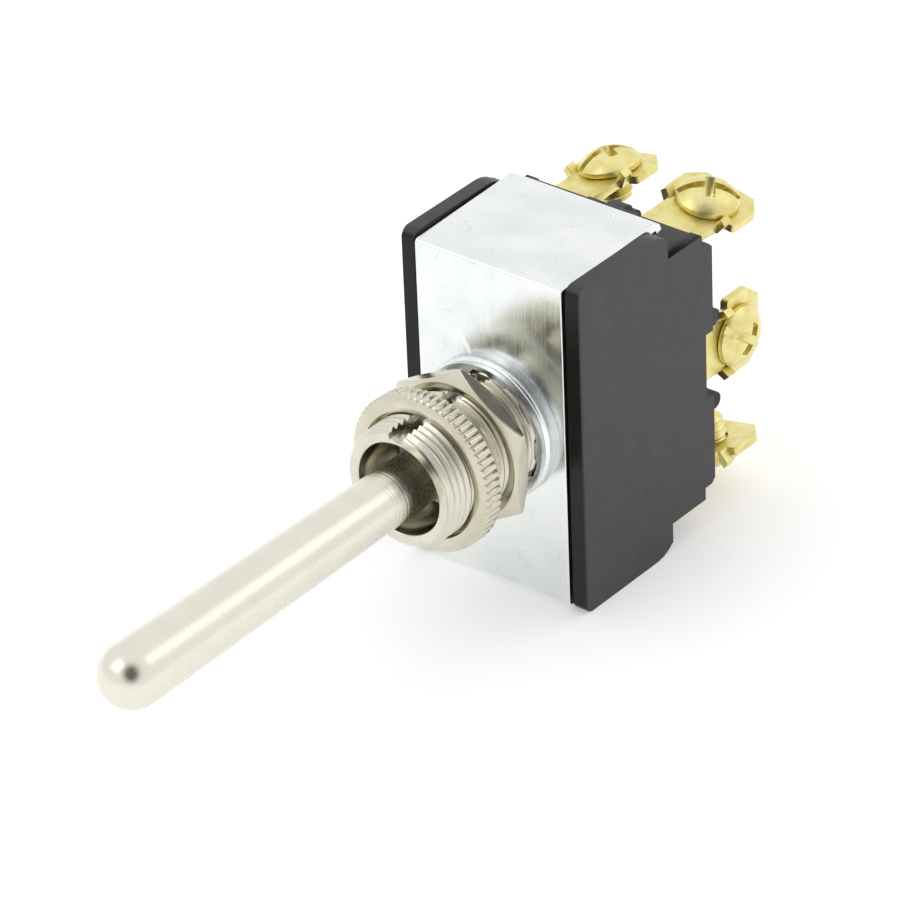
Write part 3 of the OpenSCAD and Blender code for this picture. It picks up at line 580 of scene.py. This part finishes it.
PLACES = [f"{row}_{side}" for row in ("upper", "middle", "lower") for side in ("left", "right")]
for place in PLACES:
    dressed(f"terminal_{place}", BRASS, 0.14 * MM)


# ---- Terminal screws ----

def screw_frame(mount):
    """The screw's own axes from its mount: z' along the mount's axis, y' along the case's depth, x' across."""
    out = Vector(mount["axis"]).normalized()
    depth = Vector((0, 1, 0))
    return Matrix((depth.cross(out), depth, out)).transposed(), Vector(mount["pos_m"])


def shank_mesh(name, turn, origin):
    """A threaded shank: radius as thread_radius with its crest at the shank's radius, cut by a 45 degree chamfer at
    its end, along the screw's axis from its head to its end, and closed at both."""
    angle = around(48)
    end = SHANK_LEN + SHANK_SUNK
    depth = helix_rows(0.0, end, angle, 8)
    radius = np.minimum(thread_radius(angle, depth, SHANK_R), SHANK_R - SHANK_CHAMFER + (end - depth))
    closed, last = np.zeros_like(angle), np.full_like(angle, end)
    radius = np.concatenate([closed, radius, closed])
    depth = np.concatenate([closed, depth, last])
    local = np.stack([radius * np.cos(angle), radius * np.sin(angle), SHANK_SUNK - depth], -1)
    return grid_mesh(name, local @ np.array(turn).T + np.array(origin))


def head_mesh(name, node, turn, origin):
    """The head of a CAD screw: its copy, merged, cut off just under the head and closed there."""
    work = merged(node)
    out = turn @ Vector((0, 0, 1))
    cut = bmesh.ops.bisect_plane(work, geom=work.verts[:] + work.edges[:] + work.faces[:], dist=1e-8,
                                 plane_co=origin + out * HEAD_CUT, plane_no=out, clear_inner=True)
    bmesh.ops.edgeloop_fill(work, edges=[e for e in cut["geom_cut"] if isinstance(e, bmesh.types.BMEdge)])
    flattened(work)
    bmesh.ops.recalc_face_normals(work, faces=work.faces)
    return off_bench(work, name)


for place in PLACES:
    node = f"screw_{place}"
    turn, origin = screw_frame(MOUNTS[f"wire_{place}"])
    head_name, shank_name = node + "_head", node + "_thread"
    head = finished(head_name, head_mesh(head_name, node, turn, origin), SCREW_BRASS, "body", 30.0)
    rounded(head, 0.05 * MM)
    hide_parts(node)
    finished(shank_name, shank_mesh(shank_name, turn, origin), SCREW_BRASS, "body")


# ---- Springs ----

def spring_coil(side):
    """A plunger's spring: a merged copy of its CAD node in oiled spring wire, which takes the node's place."""
    node = f"spring_{side}"
    mesh = off_bench(merged(node), node + "_coil")
    dipped(mesh, SPRING_STEEL)
    coil = link(node + "_coil", mesh)
    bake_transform(coil)
    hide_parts(node)


spring_coil("left")
spring_coil("right")


# ---- Pieces that keep their CAD shape ----

KEPT = {"lock_washer": PLATED_WASHER, "pivot_pin": PIN_STEEL, "insulator": FIBRE, "plunger_carrier": CARRIER}
for name, node in CAD_NODES.items():
    if name in KEPT:
        dipped(node.data, KEPT[name])
    elif "contact" in name:
        dipped(node.data, SILVER)
    elif name.startswith(("rocker", "fulcrum", "plunger")):
        dipped(node.data, BRASS)


# ---- Camera's place ----

BACK = Vector((0.54287, -0.65403, 0.52681)).normalized()      # from the part to the camera
RIGHT = Vector((0.78293, 0.62110, -0.03571))
RIGHT = (RIGHT - RIGHT.dot(BACK) * BACK).normalized()
UP = BACK.cross(RIGHT)
CAMERA_TARGET = Vector((-2.303, 2.301, -1.846)) * MM
CAMERA_AWAY = 0.534
CAMERA_LENS = 236.84
CAMERA_SENSOR = 36.0

# ---- Floor and light ----

FLOOR_REACH = 1.2
FLOOR_GLOW = 0.3
TENT_LIGHT = 1.0                      # the tent's strength for diffuse light
OPENING_WIDE, OPENING_TALL, OPENING_RISE = 0.42, 0.46, 0.1
OPENING_DARK, OPENING_EDGE = 0.05, (0.6, 1.35)
LAMPS_TARGET = Vector((0.0, 0.008, 0.0))
LAMPS_AWAY = 0.6
LAMPS = (("right_soft_box", (0.47, 0.61, 0.63), 0.26, 0.1), ("left_soft_box", (-0.345, -0.635, 0.69), 0.34, 0.28))


def looked_at(tree):
    """The ray's kinds, and 1 for what is looked at straight, in metal or through glass."""
    path = add(tree, "LightPath").outputs
    seen = add(tree, "Math", (path["Is Camera Ray"], path["Is Glossy Ray"]), operation="ADD")
    return path, add(tree, "Math", (seen, path["Is Transmission Ray"]), operation="ADD", use_clamp=True)


def pale_floor():
    """A white matt table that glows a little for what looks straight at it and for metal, so that it ends up as white
    as the tent and keeps a light shadow."""
    material = bpy.data.materials.new("white_table")
    material.use_nodes = True
    tree = material.node_tree
    seen = looked_at(tree)[1]
    join(tree, tree.nodes["Principled BSDF"], {
        "Base Color": "#F4F4F4",
        "Roughness": 0.9,
        "Specular IOR Level": 0.1,
        "Emission Color": (1, 1, 1, 1),
        "Emission Strength": add(tree, "MapRange", (seen, 0.0, 1.0, 0.0, FLOOR_GLOW))})
    return material


floor_mesh = bpy.data.meshes.new("floor")
corners = [(x * FLOOR_REACH, y * FLOOR_REACH, CASE_LOW.z) for x, y in ((-1, -1), (1, -1), (1, 1), (-1, 1))]
floor_mesh.from_pydata(corners, [], [(0, 1, 2, 3)])
dipped(floor_mesh, pale_floor())
link("floor", floor_mesh)


def tent():
    """A white light tent, at full strength for what looks straight at it and for metal. Metal also sees the tent's
    dark opening, where the lens looks in: an upright oval of directions whose distance from its middle is the length
    of (sideways / width, (upwards - rise) / height)."""
    world = bpy.data.worlds.new("tent")
    bpy.context.scene.world = world
    world.use_nodes = True
    tree = world.node_tree
    tree.nodes.clear()
    toward = add(tree, "TexCoord").outputs["Generated"]
    wide, tall, near = (add(tree, "VectorMath", (toward, tuple(axis)), operation="DOT_PRODUCT").outputs["Value"]
                        for axis in (RIGHT, UP, BACK))
    oval = add(tree, "CombineXYZ", (
        add(tree, "MapRange", (wide, 0.0, OPENING_WIDE), clamp=False),
        add(tree, "MapRange", (tall, OPENING_RISE, OPENING_RISE + OPENING_TALL), clamp=False)))
    away = add(tree, "VectorMath", (oval,), operation="LENGTH").outputs["Value"]
    opening = add(tree, "MapRange", (away, *OPENING_EDGE, OPENING_DARK, 1.0))
    in_front = add(tree, "MapRange", (near, 0.0, 0.1))
    wall = add(tree, "Mix", {0: in_front, 2: 1.0, 3: opening})
    path, seen = looked_at(tree)
    level = add(tree, "MapRange", (seen, 0.0, 1.0, TENT_LIGHT, 1.0))
    bare = add(tree, "Math", (wall, path["Is Camera Ray"]), operation="MAXIMUM")
    strength = add(tree, "Math", (level, bare), operation="MULTIPLY")
    glow = add(tree, "Background", {"Color": (1, 1, 1, 1), "Strength": strength})
    add(tree, "OutputWorld", {"Surface": glow})


tent()


def soft_box(name, direction, size, power):
    """A square lamp that looks at the part from a direction."""
    data = bpy.data.lights.new(name, "AREA")
    data.size = size
    data.energy = power
    away = Vector(direction) * LAMPS_AWAY
    box = link(name, data)
    box.location = LAMPS_TARGET + away
    box.rotation_euler = away.to_track_quat("Z", "Y").to_euler()


for lamp in LAMPS:
    soft_box(*lamp)

camera_data = bpy.data.cameras.new("camera")
camera_data.lens = CAMERA_LENS
camera_data.sensor_width = CAMERA_SENSOR
camera_data.clip_start = 0.01
camera = link("camera", camera_data)
pose = Matrix((RIGHT, UP, BACK)).transposed().to_4x4()
pose.translation = CAMERA_TARGET + BACK * CAMERA_AWAY
camera.matrix_world = pose
bpy.context.scene.camera = camera
bpy.context.scene.view_settings.view_transform = "Standard"
